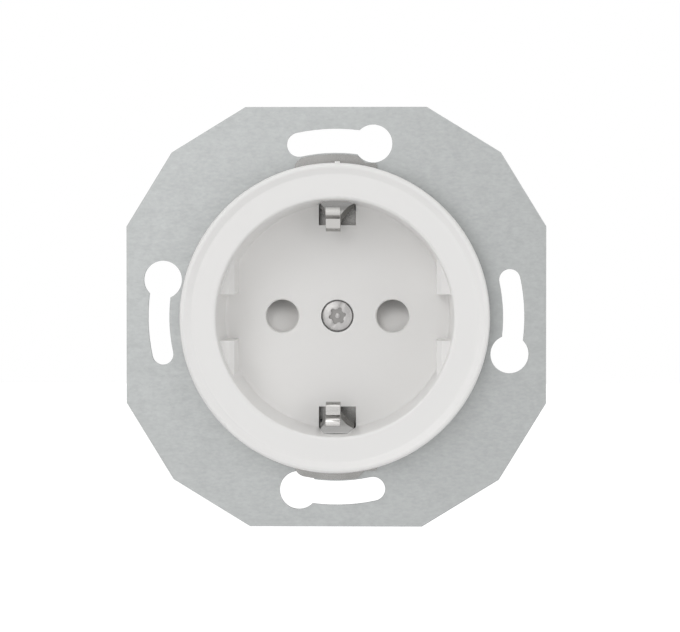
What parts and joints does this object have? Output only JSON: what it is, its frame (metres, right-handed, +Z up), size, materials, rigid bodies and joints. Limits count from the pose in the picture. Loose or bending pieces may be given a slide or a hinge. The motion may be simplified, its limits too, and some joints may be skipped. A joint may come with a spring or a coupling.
{
  "type": "wall socket",
  "caption": "Flush earthed wall socket insert on a twelve-sided steel support plate with keyhole slots; round cover with deep plug recess and sprung shutter.",
  "frame": {"origin": "centre of the support plate's back face, where it lies on the wall", "axes": "+Z up, +X to the right as seen from the front, -Y out of the wall towards the user"},
  "size_m": [0.071, 0.0424, 0.071],
  "materials": {
    "zinc_plated_sheet": "bright zinc plating, finely mottled",
    "white_moulding": "white, satin gloss",
    "screw_steel": "zinc plated",
    "shutter_moulding": "off-white, matt",
    "spring_steel": "bright spring steel",
    "nickel_plated_strip": "nickel plated",
    "rivet_steel": "zinc plated",
    "housing_moulding": "light grey, fine moulded grain",
    "contact_brass": "plain brass",
    "button_moulding": "mid grey, matt"
  },
  "bodies": {
    "socket": {"support_plate": "zinc_plated_sheet", "cover": "white_moulding", "cover_screw": "screw_steel", "shutter_spring": "spring_steel", "shutter_retainer": "shutter_moulding", "earth_bow": "nickel_plated_strip", "bow_rivets": "rivet_steel", "housing_front": "housing_moulding", "housing_rear": "housing_moulding", "line_contact": "contact_brass", "neutral_contact": "contact_brass", "earth_terminal": "contact_brass", "earth_terminal_rivet": "rivet_steel", "line_spring_upper": "spring_steel", "line_spring_lower": "spring_steel", "neutral_spring_upper": "spring_steel", "neutral_spring_lower": "spring_steel", "earth_spring_left": "spring_steel", "earth_spring_right": "spring_steel"},
    "shutter": {"shutter_slide": "shutter_moulding"},
    "line_release": {"line_release_button": "button_moulding"},
    "neutral_release": {"neutral_release_button": "button_moulding"},
    "earth_release": {"earth_release_button": "button_moulding"}
  },
  "joints": [
    {"name": "shutter_travel", "type": "slide", "parent": "socket", "child": "shutter", "axis": [0, 0, -1], "range_m": [0, 0.0058], "stiffness_N_per_m": 150, "springref_m": -0.004, "deforming": ["shutter_spring"]},
    {"name": "line_button_travel", "type": "slide", "parent": "socket", "child": "line_release", "axis": [0, -1, 0], "range_m": [0, 0.0014], "stiffness_N_per_m": 2500, "springref_m": -0.0004, "deforming": ["line_spring_upper", "line_spring_lower"]},
    {"name": "neutral_button_travel", "type": "slide", "parent": "socket", "child": "neutral_release", "axis": [0, -1, 0], "range_m": [0, 0.0014], "stiffness_N_per_m": 2500, "springref_m": -0.0004, "deforming": ["neutral_spring_upper", "neutral_spring_lower"]},
    {"name": "earth_button_travel", "type": "slide", "parent": "socket", "child": "earth_release", "axis": [0, -1, 0], "range_m": [0, 0.0014], "stiffness_N_per_m": 2500, "springref_m": -0.0004, "deforming": ["earth_spring_left", "earth_spring_right"]}
  ]
}
